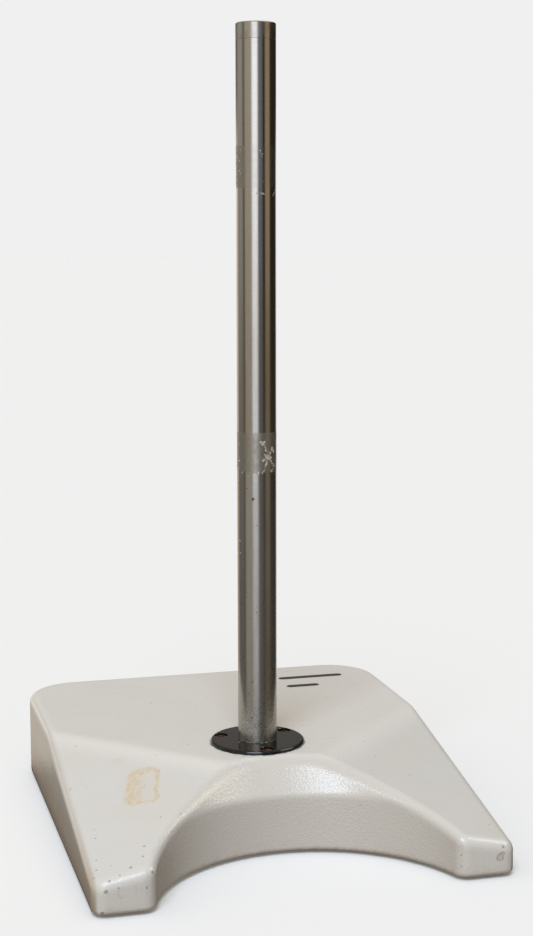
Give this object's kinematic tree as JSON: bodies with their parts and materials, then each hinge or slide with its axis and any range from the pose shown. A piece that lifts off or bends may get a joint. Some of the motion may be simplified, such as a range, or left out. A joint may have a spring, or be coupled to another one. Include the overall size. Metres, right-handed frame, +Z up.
{
  "type": "column table stand",
  "caption": "Free-standing table stand: hollow painted cast base with a round front cut-out and sloping toes, carrying an upright steel column bolted down through a round black flange.",
  "frame": {"origin": "on the surface that the feet stand on, under the middle of the base's plan", "axes": "+Z up along the column, -Y towards the front with the round cut-out, +X to the right seen from the front"},
  "size_m": [0.33, 0.394, 0.6565],
  "materials": {
    "painted_casting": "warm off-white semi-gloss paint with a fine leather texture, chipped at the toes",
    "black_flange": "smooth satin black",
    "column_steel": "ground steel, polished lengthwise, dull and pitted near the foot",
    "plug_steel": "ground steel",
    "plain_steel": "plain oiled steel",
    "zinc_plate": "bright zinc plate",
    "screw_lacquer": "dull red-brown sealing lacquer",
    "seal_compound": "old yellowish sealing compound",
    "foot_rubber": "matt black rubber",
    "mark_ink": "matt dark grey printed ink"
  },
  "bodies": {
    "root": {"base_casting": "painted_casting", "column_flange": "black_flange", "column_tube": "column_steel", "column_end_plug": "plug_steel", "column_foot_plug": "plain_steel", "column_seal": "seal_compound", "flange_screw_1": "screw_lacquer", "flange_screw_2": "screw_lacquer", "flange_screw_3": "screw_lacquer", "draw_bolt": "plain_steel", "draw_washer": "zinc_plate", "draw_spring_washer": "plain_steel", "foot_1": "foot_rubber", "foot_washer_1": "zinc_plate", "foot_screw_1": "zinc_plate", "foot_2": "foot_rubber", "foot_washer_2": "zinc_plate", "foot_screw_2": "zinc_plate", "foot_3": "foot_rubber", "foot_washer_3": "zinc_plate", "foot_screw_3": "zinc_plate", "foot_4": "foot_rubber", "foot_washer_4": "zinc_plate", "foot_screw_4": "zinc_plate", "printed_mark": "mark_ink"}
  },
  "joints": []
}
